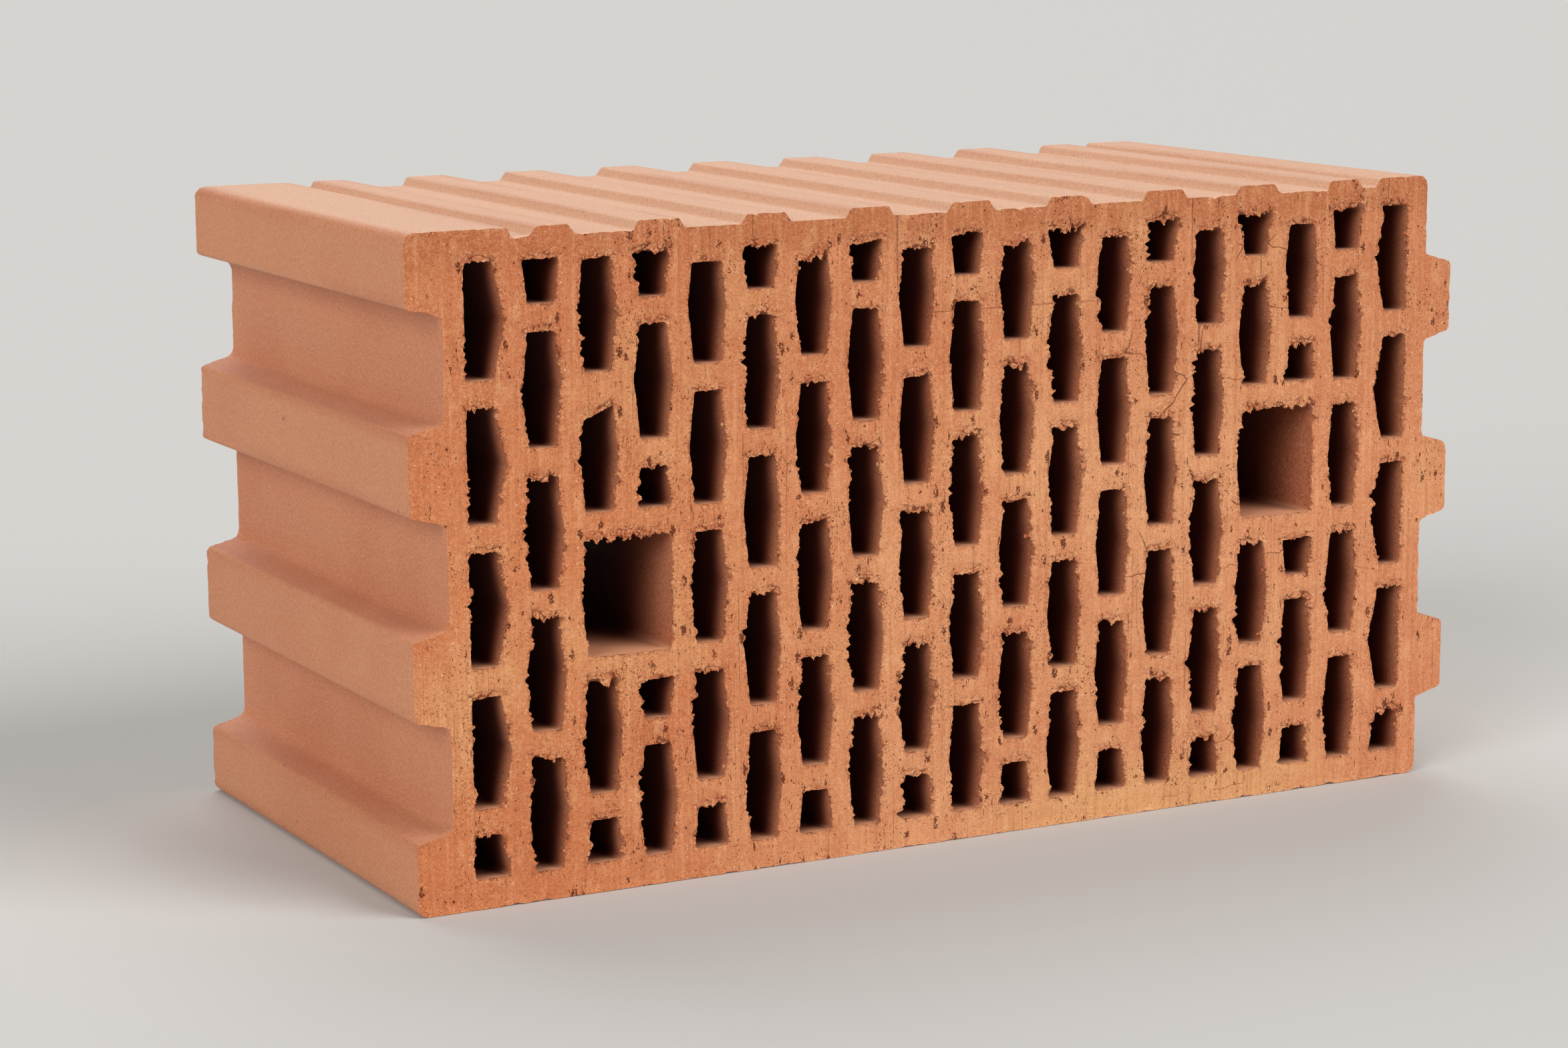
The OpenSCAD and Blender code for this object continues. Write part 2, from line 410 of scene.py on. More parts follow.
def face_points(edge_loop, hole_loops, step, seed):
    """Lattice points in the clay, at least half a step from every rim, and their gaps to the rims."""
    rng = np.random.default_rng(seed)
    x = np.arange(low[0], high[0], step)
    z = np.arange(low[2], high[2], step * math.sqrt(0.75))
    gx, gz = np.meshgrid(x, z)
    gx = gx + (np.arange(len(z)) % 2)[:, None] * step / 2
    grid = np.stack([gx.ravel(), gz.ravel()], axis=1)
    grid += rng.uniform(-SHAKE, SHAKE, grid.shape) * step
    grid = grid[inside(grid, edge_loop)]
    gap = gap_to(grid, edge_loop)
    keep = gap > CLEAR_OF_RIM * step
    for loop in hole_loops:
        reach = SEARCH_STEPS * step
        box = np.flatnonzero(((grid > loop.min(0) - reach) & (grid < loop.max(0) + reach)).all(axis=1))
        near = gap_to(grid[box], loop)
        keep[box] &= (near > CLEAR_OF_RIM * step) & ~inside(grid[box], loop)
        gap[box] = np.minimum(gap[box], near)
    return grid[keep], gap[keep]


print("lattice steps in mm", FACE_STEP, FAR_STEP)

# %% [markdown]
# ## Samples of the outline
# The skin of the block starts from the outline. Its own corners are kept, and long sides are cut into even
# steps, so that the worn edge of the cut has points to move. Where the outline turns to the left it is an
# outer edge of the block, and a share from 0 to 1 says how near each sample lies to one.

# %% Samples of the outline
SKIN_STEP = 1.6
EDGE_MM = 3.2
BLUNT_DEG = 60.0


def subdivided(loop, step):
    """The closed loop with its own corners kept and its long sides cut into equal steps."""
    side = np.roll(loop, -1, axis=0) - loop
    cuts = np.maximum(1, np.ceil(np.linalg.norm(side, axis=1) / step)).astype(int)
    which = np.repeat(np.arange(len(loop)), cuts)
    share = (np.arange(cuts.sum()) - np.repeat(np.cumsum(cuts) - cuts, cuts)) / cuts[which]
    return loop[which] + side[which] * share[:, None]


def edge_share(points, corners):
    """From 0 to 1, how close a point lies to an outer edge: the outline's left turns, each fading out over
    a few millimetres, added up and set against a blunt corner."""
    ahead = np.roll(corners, -1, axis=0) - corners
    behind = np.roll(ahead, 1, axis=0)
    cross = behind[:, 0] * ahead[:, 1] - behind[:, 1] * ahead[:, 0]
    turn = np.arctan2(cross, np.sum(behind * ahead, axis=1))
    fade = np.exp(-((np.linalg.norm(points[:, None] - corners[None], axis=2) / EDGE_MM) ** 2))
    return np.clip(fade @ turn / math.radians(BLUNT_DEG), 0, 1)


skin_line = subdivided(outline, SKIN_STEP)
skin_next = np.roll(np.arange(len(skin_line)), -1)
skin_back = np.roll(np.arange(len(skin_line)), 1)
skin_normal = clay_normals(skin_line, skin_next, skin_back)
skin_edge = edge_share(skin_line, outline)
print("outline samples", len(skin_line), "on an edge", int(np.sum(skin_edge > 0.5)))

# %% [markdown]
# ## The depth of the cut
# Each point of the face is sunk a little below the plane of the cut. A broad wave, upright drag marks,
# pits where grains were pulled out and a fine roughness are added up, and broken ground lies deeper, most
# of all above a hole. All of it is sunk and never raised, so the block stays in the solid's box.

# %% Depth of the face
TORN_TOP_MM, TORN_SIDE_MM = 3.2, 2.2
TOP_FROM = 0.75
LEAST_SINK_MM = 0.03
WAVE_MM, WAVE_SPAN_MM = 0.09, 40
DRAG_MM, DRAG_SPAN_MM, DRAG_STRETCH = 0.08, 1.8, 14.0
PIT_MM, PIT_SPAN_MM, PIT_STRETCH = 0.8, 9.0, 1.6
ROUGH_MM, ROUGH_SPAN_MM = 0.07, 3.2


def torn_ground(points, gap, rim_points, normal):
    """From 0 to 1, how much a point lies in the broken ground above a hole, or less so beside any rim."""
    tops = rim_points[normal[:, 1] > TOP_FROM]
    above = np.exp(-((gap_to(points, tops) / TORN_TOP_MM) ** 2))
    return np.maximum(above, 0.5 * np.exp(-((gap / TORN_SIDE_MM) ** 2)))


def face_depth(points, torn, seed):
    """Depth under the CAD plane in mm: wave, upright drag marks, pits and broken ground."""
    wave = WAVE_MM * (1 + fractal(points, WAVE_SPAN_MM, seed))
    drag = DRAG_MM * (1 + fractal(points / np.array([1.0, DRAG_STRETCH]), DRAG_SPAN_MM, seed + 10, 2))
    gap, value = scattered(points / np.array([1.0, PIT_STRETCH]), PIT_SPAN_MM, seed + 20)
    pits = PIT_MM * np.clip(1 - gap / (0.10 + 0.12 * value), 0, 1) ** 0.7 * (value > 0.6)
    rough = fractal(points, ROUGH_SPAN_MM, seed + 30)
    broken = torn * (0.15 + 0.9 * np.clip(rough + 0.2, 0, 1))
    return LEAST_SINK_MM + wave + drag + pits + broken + ROUGH_MM * (1 + rough)


print("depth at a plain spot in mm", face_depth(np.array([[0.0, 6.0]]), np.zeros(1), 40).round(2))

# %% [markdown]
# ## Walls and skin
# A wall is a ring carried along the hole. Near the face the ring keeps the rim's bites, and a few
# millimetres in it runs out into the clean line of the die. The skin of the block is the outline carried
# the same way, with its edges worn where the wire left it.

# %% Levels along the holes
LIP_MM, LIP_SHARE = 0.9, 0.8
ROOT_MM, ROOT_SHARE = 2.8, 0.28
CLEAN_MM = 6.5
FAR_CLEAN_MM = 4.2
FAR_LIP_MM, FAR_LIP_SHARE = 1.2, 0.6
SKIN_LEVELS = np.array([0.0, 0.8, 2.4, 8.0, 60.0])
SKIN_WAVE_MM, SKIN_WAVE_SPAN_MM = 0.10, 70
WEAR_FADE_MM = 0.9
NIBBLE_SPAN_MM, EDGE_CHIP_SPAN_MM = 2.4, 6.0
LEAST_EDGE_SINK_MM, EDGE_SINK_MM, EDGE_SINK_SPAN_MM = 0.12, 0.30, 4
LEAST_NIBBLE_MM, EDGE_CHIP_MM, MOST_CHIP_MM = 0.10, 2.6, 1.1


def wall_ring(clean, torn_line, share, depth, seed):
    """One ring of all the holes: from the die's clean line to the torn rim by a share, with grain."""
    grain = fractal(np.column_stack([clean, np.full(len(clean), depth)]), 2.4, seed, 2)
    return clean + (torn_line - clean) * (share * (1 + 0.3 * grain))[:, None]


def skin_ring(depth, seed):
    """The outline at this distance from a cut, pulled in by a faint wave and by wear at the cut."""
    at = np.column_stack([skin_line, np.full(len(skin_line), depth)])
    wave = SKIN_WAVE_MM * (1 + fractal(at, SKIN_WAVE_SPAN_MM, seed, 2))
    wear = np.exp(-depth / WEAR_FADE_MM)
    bite = np.clip(fractal(skin_line, NIBBLE_SPAN_MM, seed + 5, 2), 0, 1)
    nibble = LEAST_NIBBLE_MM + 0.5 * temper(skin_line, seed + 3) * bite
    chip = EDGE_CHIP_MM * np.clip(fractal(skin_line, EDGE_CHIP_SPAN_MM, seed + 9) - 0.38, 0, 1)
    worn = np.clip(nibble + chip, 0, MOST_CHIP_MM)
    return skin_line + skin_normal * (wave + wear * worn)[:, None]


def edge_sink(ring, seed):
    """How far the outer edge lies under the plane of the cut in mm: a least sink and a short noise."""
    return LEAST_EDGE_SINK_MM + EDGE_SINK_MM * np.clip(fractal(ring, EDGE_SINK_SPAN_MM, seed) + 0.2, 0, 1)


def placed(points, y):
    """Section points (x, z) set at depth y, as rows of x, y and z."""
    return np.column_stack([points[:, 0], np.broadcast_to(y, len(points)), points[:, 1]])


print("walls are clean from", CLEAN_MM, "mm in")

# %% [markdown]
# ## One closed mesh
# All rings and face points become one list of vertices. Bands of triangles join each ring to the next, a
# band with three triangles to a step joins the fine near rings to the coarser far rings, and the two faces
# close the ends.


# %% Bands and faces
def band(near, far, after):
    """Triangles between two rings of equal length, facing away from the clay."""
    i, j = np.arange(len(after)), after
    return np.concatenate([
        np.column_stack([near + j, near + i, far + i]),
        np.column_stack([near + j, far + i, far + j]),
    ])


def thinning_band(near, far, after):
    """Triangles from a fine ring to one with every second sample."""
    f0 = np.arange(0, len(after), 2)
    f1 = after[f0]
    f2 = after[f1]
    c0, c1 = f0 // 2, f2 // 2
    return np.concatenate([
        np.column_stack([near + f1, near + f0, far + c0]),
        np.column_stack([near + f1, far + c0, far + c1]),
        np.column_stack([near + f2, near + f1, far + c1]),
    ])


def face_triangles(edge_loop, rim_loop, after, hole_of, grid):
    """Triangles of a cut face over its outline, rims and lattice points, wound against the clock."""
    points = np.concatenate([edge_loop, rim_loop, grid])
    n_edge = len(edge_loop)
    ring = np.arange(n_edge)
    line = np.concatenate([
        np.column_stack([ring, np.roll(ring, -1)]),
        np.column_stack([np.arange(len(after)), after]) + n_edge,
    ])
    made = delaunay_2d_cdt(points.tolist(), line.tolist(), [], 1, 1e-7)
    source = np.array(made[3]).reshape(-1)
    tri = source[np.array(made[2])]
    a, b, c = points[tri[:, 0]], points[tri[:, 1]], points[tri[:, 2]]
    turn = (b[:, 0] - a[:, 0]) * (c[:, 1] - a[:, 1]) - (b[:, 1] - a[:, 1]) * (c[:, 0] - a[:, 0])
    tri = np.where((turn < 0)[:, None], tri[:, ::-1], tri)
    owner = np.full(len(points), -1)
    owner[n_edge:n_edge + len(rim_loop)] = hole_of
    kind = owner[tri]
    same = (kind[:, 0] >= 0) & (kind[:, 0] == kind[:, 1]) & (kind[:, 0] == kind[:, 2])
    drop = np.zeros(len(tri), dtype=bool)
    middle = points[tri].mean(axis=1)
    for hole in np.unique(hole_of):
        mine = np.flatnonzero(same & (kind[:, 0] == hole))
        drop[mine] = inside(middle[mine], rim_loop[hole_of == hole])
    outer = np.flatnonzero((tri < n_edge).all(axis=1))
    drop[outer] = ~inside(middle[outer], edge_loop)
    return tri[~drop]


def cut_face(edge_ring, rim_ring, after, hole_of, step, seed):
    """Triangles of one cut face, its lattice points and their gaps to the rims."""
    loops_here = [rim_ring[hole_of == h] for h in range(hole_of.max() + 1)]
    grid, gap = face_points(edge_ring, loops_here, step, seed)
    tri = face_triangles(edge_ring, rim_ring, after, hole_of, grid)
    return tri, grid, gap


CUT, SKIN, WALL = 0, 1, 2
vertices, triangles, finish = [], [], []
torn_shares, edge_shares, narrow_shares, foot_shares = [], [], [], []


def add_vertices(rows, torn=0.0, edge=0.0, narrow=0.0, foot=0.0):
    """Appends rows of vertices with their shares and returns the number of the first of them."""
    start = sum(len(v) for v in vertices)
    vertices.append(rows)
    torn_shares.append(np.broadcast_to(torn, len(rows)).astype(float))
    edge_shares.append(np.broadcast_to(edge, len(rows)).astype(float))
    narrow_shares.append(np.broadcast_to(narrow, len(rows)).astype(float))
    foot_shares.append(np.broadcast_to(foot, len(rows)).astype(float))
    return start


def add_triangles(rows, kind):
    """Appends rows of triangles with the finish that they get."""
    triangles.append(rows)
    finish.append(np.full(len(rows), kind))


print("finishes of the block", CUT, SKIN, WALL)

# %% [markdown]
# ## The near face and its walls
# The face that is seen comes first. Its outline, rims and lattice points get their depth. Three rings then
# carry each hole inwards: a lip that still has the bites, a root where they fade out, and the clean line of
# the die. Two values go along with the walls: how narrow the hole is, for its painted shade, and how much a
# sample belongs to the hole's floor, for its painted light.

# %% Near face and its walls
RIM_SINK_MM = 0.12
FLOOR_FROM, FLOOR_FADE = 0.6, 0.3
NEAR_SEEDS, FAR_SEEDS = (3, 40, 61), (4, 540, 561)


def add_cut(skin, ring, normal, after, hole, y, inward, step, seeds):
    """Adds a cut face with its outline, rims and lattice points sunk from the plane at y. Gives back where
    the outline and the rims start in the list, and the y of each rim sample."""
    lattice_seed, relief_seed, edge_seed = seeds
    tri, grid, gap = cut_face(skin, ring, after, hole, step, lattice_seed)
    torn = np.clip(normal[:, 1], 0, 1)
    grid_torn = torn_ground(grid, gap, ring, normal)
    ring_y = y + inward * (face_depth(ring, 0.6 * torn, relief_seed) + RIM_SINK_MM)
    skin_start = add_vertices(placed(skin, y + inward * edge_sink(skin, edge_seed)), 0.3, skin_edge)
    ring_start = add_vertices(placed(ring, ring_y), 0.6 + 0.4 * torn)
    add_vertices(placed(grid, y + inward * face_depth(grid, grid_torn, relief_seed)), grid_torn)
    add_triangles(tri[:, ::inward] + skin_start, CUT)
    return skin_start, ring_start, ring_y


front_y, back_y = low[1], high[1]
hole_wide = np.array([np.ptp(h[:, 0]) for h in holes])
# How narrow each hole is sets how fast the painted shade in its walls deepens.
hole_narrow = np.sqrt(hole_wide.min() / hole_wide) / (hole_wide * MM)
narrow, far_narrow = hole_narrow[rim_hole], hole_narrow[far_hole]
# How much a wall sample is a hole floor, for the painted light on the floors.
foot, far_foot = [np.clip((-n[:, 1] - FLOOR_FROM) / FLOOR_FADE, 0, 1) for n in (rim_normal, far_normal)]
front_skin = skin_ring(0.0, 60)
front_rim = rim + rim_normal * bites[:, None]
skin_at, rim_at, rim_y = add_cut(
    front_skin, front_rim, rim_normal, rim_next, rim_hole, front_y, 1, FACE_STEP, NEAR_SEEDS
)
lip = wall_ring(wall_line, front_rim, LIP_SHARE, LIP_MM, 80)
lip_at = add_vertices(placed(lip, rim_y + LIP_MM), 0.6, 0.0, narrow, foot)
root = wall_ring(far_rim, front_rim[::2], ROOT_SHARE, ROOT_MM, 80)
root_at = add_vertices(placed(root, front_y + ROOT_MM), 0.1, 0.0, far_narrow, far_foot)
clean_at = add_vertices(placed(far_rim, front_y + CLEAN_MM), 0.0, 0.0, far_narrow, far_foot)
add_triangles(band(rim_at, lip_at, rim_next), CUT)
add_triangles(thinning_band(lip_at, root_at, rim_next), WALL)
add_triangles(band(root_at, clean_at, far_next), WALL)
print("triangles of the near face and its walls", sum(len(rows) for rows in triangles))

# %% [markdown]
# ## The far face and its walls
# The hidden face is cut in the same way and has its own tears. It takes every second sample of the rims and
# a wider lattice, and its triangles are turned round, because it looks the other way.

# %% Far face and its walls
far_ring = far_rim + far_normal * far_bites[:, None]
far_skin = skin_ring(0.0, 560)
far_skin_at, far_rim_at, far_y = add_cut(
    far_skin, far_ring, far_normal, far_next, far_hole, back_y, -1, FAR_STEP, FAR_SEEDS
)
far_lip = wall_ring(far_rim, far_ring, FAR_LIP_SHARE, FAR_LIP_MM, 580)
far_lip_at = add_vertices(placed(far_lip, far_y - FAR_LIP_MM), 0.6, 0.0, far_narrow, far_foot)
far_clean_at = add_vertices(placed(far_rim, back_y - FAR_CLEAN_MM), 0.0, 0.0, far_narrow, far_foot)
add_triangles(band(clean_at, far_clean_at, far_next), WALL)
add_triangles(band(far_clean_at, far_lip_at, far_next), WALL)
add_triangles(band(far_lip_at, far_rim_at, far_next), CUT)
print("triangles of both faces and all walls", sum(len(rows) for rows in triangles))

# %% [markdown]
# ## The skin
# The outline is carried from one cut to the other. The levels lie close together near the cuts, where the
# edge is nibbled and chipped, and far apart in between, where the skin is only faintly wavy.

# %% Skin of the block
levels = [(depth, front_y + depth, 60) for depth in SKIN_LEVELS[1:]]
levels += [(depth, back_y - depth, 560) for depth in SKIN_LEVELS[:0:-1]]
last_skin = skin_at
for depth, y, seed in levels:
    here = add_vertices(placed(skin_ring(depth, seed), y), 0.0, skin_edge)
    add_triangles(band(last_skin, here, skin_next), SKIN)
    last_skin = here
add_triangles(band(last_skin, far_skin_at, skin_next), SKIN)
print("skin levels", 2 * len(SKIN_LEVELS))

# %% [markdown]
# ## The mesh
# Whole arrays go into the mesh at once with foreach_set, which is far quicker than adding faces one by one.
# The block is smooth shaded, and the edges between the cuts, the walls and the skin are marked sharp, so
# that the light breaks there. An edge of a closed mesh has two faces, and the count of all others is
# printed: it has to be zero.


# %% The mesh
def mesh_object(name, rows, tri, kind, smooth, **shares):
    """A mesh object at the origin from arrays in millimetres, with shares as attributes of its points."""
    mesh = bpy.data.meshes.new(name)
    mesh.vertices.add(len(rows))
    mesh.vertices.foreach_set("co", (rows * MM).ravel())
    mesh.loops.add(tri.size)
    mesh.loops.foreach_set("vertex_index", tri.ravel().astype(np.int32))
    mesh.polygons.add(len(tri))
    mesh.polygons.foreach_set("loop_start", np.arange(0, tri.size, 3, dtype=np.int32))
    mesh.polygons.foreach_set("material_index", kind.astype(np.int32))
    mesh.update(calc_edges=True)
    mesh.polygons.foreach_set("use_smooth", np.full(len(tri), smooth))
    for share, values in shares.items():
        mesh.attributes.new(share, "FLOAT", "POINT").data.foreach_set("value", values)
    obj = bpy.data.objects.new(name, mesh)
    bpy.context.scene.collection.objects.link(obj)
    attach(obj, "root")
    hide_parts("clay_block")
    return obj


def sharpen(mesh, lines):
    """Marks the mesh edges that lie on these lines of vertex pairs as sharp."""
    pairs = np.empty(len(mesh.edges) * 2, dtype=np.int64)
    mesh.edges.foreach_get("vertices", pairs)
    count = len(mesh.vertices)
    key = np.sort(pairs.reshape(-1, 2), axis=1) @ [count, 1]
    sharp = np.isin(key, np.sort(np.concatenate(lines), axis=1) @ [count, 1])
    mesh.attributes.new("sharp_edge", "BOOLEAN", "EDGE").data.foreach_set("value", sharp)
    return int(sharp.sum())


def ring_lines(at, after):
    """Pairs of vertex numbers along rings that start at this vertex."""
    return np.column_stack([np.arange(len(after)), after]) + at


rows = np.concatenate(vertices)
tri = np.concatenate(triangles)
edge = np.sort(np.concatenate([tri[:, [0, 1]], tri[:, [1, 2]], tri[:, [2, 0]]]), axis=1)
uses = np.unique(edge, axis=0, return_counts=True)[1]
block = mesh_object("fired_block", rows, tri, np.concatenate(finish), True,
                    torn=np.concatenate(torn_shares), edge=np.concatenate(edge_shares),
                    narrow=np.concatenate(narrow_shares), foot=np.concatenate(foot_shares))
cut_edges = [(skin_at, skin_next), (rim_at, rim_next), (far_skin_at, skin_next), (far_rim_at, far_next)]
sharp_count = sharpen(block.data, [ring_lines(*line) for line in cut_edges])
print("triangles", len(tri), "open or crowded edges", int(np.sum(uses != 2)), "sharp", sharp_count)

# %% [markdown]
# ## Crumbs that cling to the rims
# Grains and lumps of torn clay still hang on the rims and lie in the broken ground beside them, thickest
# where the wire tore most. Each is a small ball with a random radius at every corner, and all of them are
# one array. They are left flat shaded, so they look broken and not rolled, and they stay behind the plane of
# the cut.

# %% Crumbs
NEAR_CRUMBS, FAR_CRUMBS, EDGE_CRUMBS = 1500, 700, 220
CRUMB_MM = (0.28, 1.15)
CRUMB_BIAS = 4
CRUMB_SUNK, LEAST_CRUMB_SINK_MM = (1.0, 2.4), 0.05
UNEVEN = (0.7, 1.0)
ONTO_RIM, ONTO_EDGE = -0.5, 1.0
BALL_RINGS, BALL_SIDES = 4, 6


def ball(rings, sides):
    """Directions and triangles of a closed ball: a pole, rings of equal sides, and a pole."""
    a = np.arange(1, rings) * math.pi / rings
    t = np.arange(sides) * 2 * math.pi / sides
    ring = np.stack([np.outer(np.sin(a), np.cos(t)), np.outer(np.sin(a), np.sin(t)),
                     np.outer(np.cos(a), np.ones(sides))], axis=2).reshape(-1, 3)
    way = np.vstack([ring, [[0, 0, 1], [0, 0, -1]]])
    after = np.roll(np.arange(sides), -1)
    first = np.arange(rings - 2) * sides
    walls = np.concatenate([band(f + sides, f, after) for f in first])
    top, end, last = len(ring), len(ring) + 1, first[-1] + sides
    side = np.arange(sides)
    caps = [np.column_stack([np.full(sides, top), side, after]),
            np.column_stack([np.full(sides, end), last + after, last + side])]
    return way, np.concatenate([walls, *caps])


def crumbs_along(line, normal, chance, count, least_onto, seed):
    """Balls and tones of crumbs at samples of a line that are drawn by chance. Each has a random size, lies
    across the line from the given share of its size on, and is sunk by its own size or more."""
    rng = np.random.default_rng(seed)
    spot = rng.choice(len(line), count, p=chance / chance.sum())
    size = CRUMB_MM[0] + (CRUMB_MM[1] - CRUMB_MM[0]) * rng.uniform(0, 1, count) ** CRUMB_BIAS
    onto = size * (least_onto + rng.uniform(0, 1, count))
    sunk = size * rng.uniform(*CRUMB_SUNK, count)
    centre = placed(line[spot] + normal[spot] * onto[:, None], sunk + LEAST_CRUMB_SINK_MM)
    way, _ = ball(BALL_RINGS, BALL_SIDES)
    radius = rng.uniform(*UNEVEN, (count, 1, 3)) * rng.uniform(*UNEVEN, (count, len(way), 1))
    return way * radius * size[:, None, None] + centre[:, None], rng.uniform(0, 1, count)


crumb_sets = [
    crumbs_along(front_rim, rim_normal, (tear(rim_normal) * rim_temper) ** 2, NEAR_CRUMBS, ONTO_RIM, 21),
    crumbs_along(front_skin, skin_normal, np.ones(len(front_skin)), EDGE_CRUMBS, ONTO_EDGE, 22),
    crumbs_along(far_ring, far_normal, (tear(far_normal) * far_temper) ** 2, FAR_CRUMBS, ONTO_RIM, 23),
    crumbs_along(far_skin, skin_normal, np.ones(len(far_skin)), EDGE_CRUMBS, ONTO_EDGE, 24),
]
crumb_rows = np.concatenate([rows for rows, _ in crumb_sets])
on_front = np.arange(len(crumb_rows)) < NEAR_CRUMBS + EDGE_CRUMBS
crumb_rows[on_front, :, 1] += front_y
crumb_rows[~on_front, :, 1] = back_y - crumb_rows[~on_front, :, 1]
_, ball_tri = ball(BALL_RINGS, BALL_SIDES)
crumb_tri = np.where(on_front[:, None, None], ball_tri, ball_tri[:, ::-1])
crumb_tri = crumb_tri + (np.arange(len(crumb_rows)) * crumb_rows.shape[1])[:, None, None]
crumb_tone = np.repeat(np.concatenate([tone for _, tone in crumb_sets]), crumb_rows.shape[1])
crumbs = mesh_object("clinging_crumbs", crumb_rows.reshape(-1, 3), crumb_tri.reshape(-1, 3),
                     np.zeros(crumb_tri.size // 3), False, tone=crumb_tone)
print("crumbs", len(crumb_rows), "triangles", crumb_tri.size // 3)


# %% [markdown]
# ## Node helpers
# Materials are written as short lists of nodes. One helper adds a node with its plain values and its
# links, and colours are given as they look on a screen.


# %% Node helpers
def screen(red, green, blue):
    """A screen colour from 0 to 255 as linear light, by the sRGB curve."""
    c = np.array([red, green, blue]) / 255
    linear = np.where(c <= 0.04045, c / 12.92, ((c + 0.055) / 1.055) ** 2.4)
    return (*linear.tolist(), 1.0)


def put(tree, kind, links=None, values=None, **settings):
    """Adds a node: settings are its properties, values its plain sockets and links its linked ones."""
    made = tree.nodes.new(kind)
    for name, value in settings.items():
        setattr(made, name, value)
    for name, value in (values or {}).items():
        made.inputs[name].default_value = value
    for name, source in (links or {}).items():
        tree.links.new(source, made.inputs[name])
    return made


def maths(tree, operation, a, b=None):
    """A Math node on two numbers or sockets."""
    made = tree.nodes.new("ShaderNodeMath")
    made.operation = operation
    for slot, value in zip(made.inputs, (a, b)):
        if isinstance(value, (int, float)):
            slot.default_value = value
        elif value is not None:
            tree.links.new(value, slot)
    return made.outputs[0]


def blend(tree, factor, a, b):
    """A colour Mix node between two colours or sockets."""
    made = tree.nodes.new("ShaderNodeMix")
    made.data_type = "RGBA"
    for name, value in (("Factor_Float", factor), ("A_Color", a), ("B_Color", b)):
        slot = next(s for s in made.inputs if s.identifier == name)
        if isinstance(value, (int, float, tuple)):
            slot.default_value = value
        else:
            tree.links.new(value, slot)
    return next(s for s in made.outputs if s.identifier == "Result_Color")


def ramp(tree, value, low_end, high_end):
    """A smooth step of a socket from 0 at the low end to 1 at the high end."""
    made = put(tree, "ShaderNodeMapRange", {"Value": value}, {"From Min": low_end, "From Max": high_end},
               interpolation_type="SMOOTHSTEP")
    return made.outputs["Result"]


def group(name, inputs, outputs):
    """An empty shader node group with float or vector sockets."""
    tree = bpy.data.node_groups.new(name, "ShaderNodeTree")
    for label, kind in inputs:
        tree.interface.new_socket(label, in_out="INPUT", socket_type=kind)
    for label, kind in outputs:
        tree.interface.new_socket(label, in_out="OUTPUT", socket_type=kind)
    return tree, tree.nodes.new("NodeGroupInput").outputs, tree.nodes.new("NodeGroupOutput").inputs


VECTOR, FLOAT = "NodeSocketVector", "NodeSocketFloat"
print("cut orange", [round(c, 3) for c in screen(203, 128, 84)])

# %% [markdown]
# ## Effects that the finishes share
# Fired clay has three effects wherever it is seen: fine sandy grain, broad patches where it burnt redder or
# yellower, and small foreign bits such as lime and brick grit. Each is a node group, and every finish
# places it with its own values.


# %% Shared groups
def grain_group():
    """Sand grain: a fine noise and a little of a coarser one added, as a value round zero."""
    tree, given, out = group("sandy_grain", [("At", VECTOR), ("Per metre", FLOAT)], [("Grain", FLOAT)])
    fine = put(tree, "ShaderNodeTexNoise", {"Vector": given["At"], "Scale": given["Per metre"]},
               {"Detail": 2.0, "Roughness": 0.6})
    wide = maths(tree, "MULTIPLY", given["Per metre"], 0.25)
    coarse = put(tree, "ShaderNodeTexNoise", {"Vector": given["At"], "Scale": wide}, {"Detail": 2.0})
    both = maths(tree, "ADD", fine.outputs["Fac"], maths(tree, "MULTIPLY", coarse.outputs["Fac"], 0.4))
    tree.links.new(maths(tree, "SUBTRACT", both, 0.7), out["Grain"])
    return tree


def patches_group():
    """Burnt patches: a broad noise as a share of red, and another as a share of yellow."""
    tree, given, out = group("burnt_patches", [("At", VECTOR)], [("Red", FLOAT), ("Yellow", FLOAT)])
    red = put(tree, "ShaderNodeTexNoise", {"Vector": given["At"]}, {"Scale": 11.0, "Detail": 3.0})
    moved = put(tree, "ShaderNodeMapping", {"Vector": given["At"]}, {"Location": (3.1, 1.7, 5.3)})
    yellow = put(tree, "ShaderNodeTexNoise", {"Vector": moved.outputs[0]}, {"Scale": 14.0, "Detail": 4.0})
    tree.links.new(ramp(tree, red.outputs["Fac"], 0.42, 0.68), out["Red"])
    tree.links.new(ramp(tree, yellow.outputs["Fac"], 0.50, 0.72), out["Yellow"])
    return tree


def bits_group():
    """Foreign bits: ragged spots round scattered points that drew a high random value."""
    inputs = [("At", VECTOR), ("Per metre", FLOAT), ("Share", FLOAT), ("Size", FLOAT)]
    tree, given, out = group("foreign_bits", inputs, [("Spot", FLOAT)])
    cells = put(tree, "ShaderNodeTexVoronoi", {"Vector": given["At"], "Scale": given["Per metre"]})
    ragged = put(tree, "ShaderNodeTexNoise", {"Vector": given["At"]}, {"Scale": 1300.0, "Detail": 1.0})
    draw = put(tree, "ShaderNodeSeparateColor", {"Color": cells.outputs["Color"]})
    chosen = maths(tree, "GREATER_THAN", draw.outputs[0], maths(tree, "SUBTRACT", 1.0, given["Share"]))
    size = maths(tree, "MULTIPLY", draw.outputs[1], given["Size"])
    size = maths(tree, "MULTIPLY", size, ragged.outputs["Fac"])
    near = maths(tree, "LESS_THAN", cells.outputs["Distance"], size)
    tree.links.new(maths(tree, "MULTIPLY", chosen, near), out["Spot"])
    return tree


GRAIN, PATCHES, BITS = grain_group(), patches_group(), bits_group()


def effect(tree, which, at, **values):
    """A shared group placed in a material with numbers or sockets as its values, and its outputs."""
    made = put(tree, "ShaderNodeGroup", {"At": at}, node_tree=which)
    for name, value in values.items():
        slot = made.inputs[name.replace("_", " ")]
        if isinstance(value, float):
            slot.default_value = value
        else:
            tree.links.new(value, slot)
    return made.outputs


